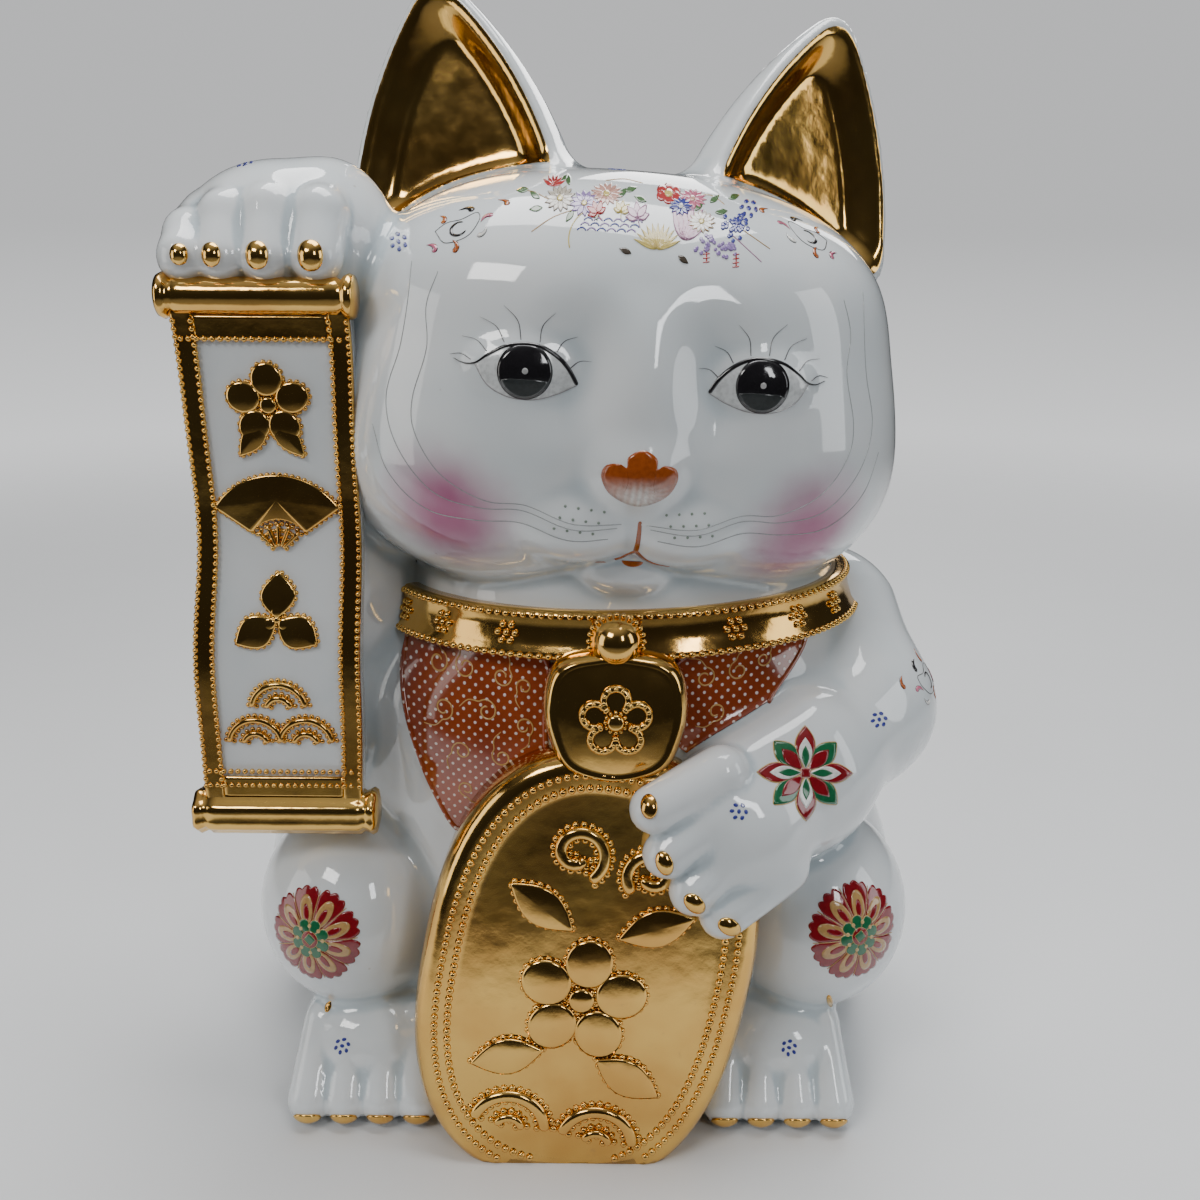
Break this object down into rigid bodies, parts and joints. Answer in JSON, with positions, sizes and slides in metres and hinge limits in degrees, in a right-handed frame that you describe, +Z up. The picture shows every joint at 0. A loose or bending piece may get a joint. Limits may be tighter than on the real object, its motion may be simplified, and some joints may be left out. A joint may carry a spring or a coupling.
{
  "type": "beckoning cat figurine",
  "caption": "Glazed porcelain seated cat with a raised paw holding a scroll and a gilt oval coin; hollow coin bank with a slot in the back and a rubber stopper underneath.",
  "frame": {"origin": "centre of the bounding box on the surface the figurine stands on", "axes": "+Z up, the cat faces -Y, +X is to the viewer's right"},
  "size_m": [0.2066, 0.1604, 0.3039],
  "materials": {
    "white_glaze": "gloss",
    "gold_lustre": "mirror-like fired gold lustre over glaze",
    "red_enamel": "satin gloss overglaze enamel",
    "bisque_foot": "unglazed, matt",
    "rubber": "matt"
  },
  "bodies": {
    "cat": {"body_casting": "white_glaze", "base_disc": "bisque_foot", "tail": "white_glaze", "head_casting": "white_glaze", "left_ear": "white_glaze", "right_ear": "white_glaze", "left_ear_gilding": "gold_lustre", "right_ear_gilding": "gold_lustre", "raised_arm": "white_glaze", "raised_paw_claws": "gold_lustre", "scroll_panel": "white_glaze", "scroll_border": "gold_lustre", "scroll_top_rod": "gold_lustre", "scroll_bottom_rod": "gold_lustre", "scroll_ornaments": "gold_lustre", "collar_band": "gold_lustre", "collar_beading": "gold_lustre", "bell": "gold_lustre", "pendant": "gold_lustre", "pendant_ornament": "gold_lustre", "bib_left": "red_enamel", "bib_right": "red_enamel", "koban_coin": "gold_lustre", "koban_beading": "gold_lustre", "koban_ornament": "gold_lustre", "holding_arm": "white_glaze", "holding_paw_claws": "gold_lustre", "left_foot_claws": "gold_lustre", "right_foot_claws": "gold_lustre"},
    "stopper": {"stopper": "rubber"}
  },
  "joints": [
    {"name": "stopper_pull", "type": "slide", "parent": "cat", "child": "stopper", "axis": [0, 0, -1], "range_m": [0, 0.03]}
  ]
}
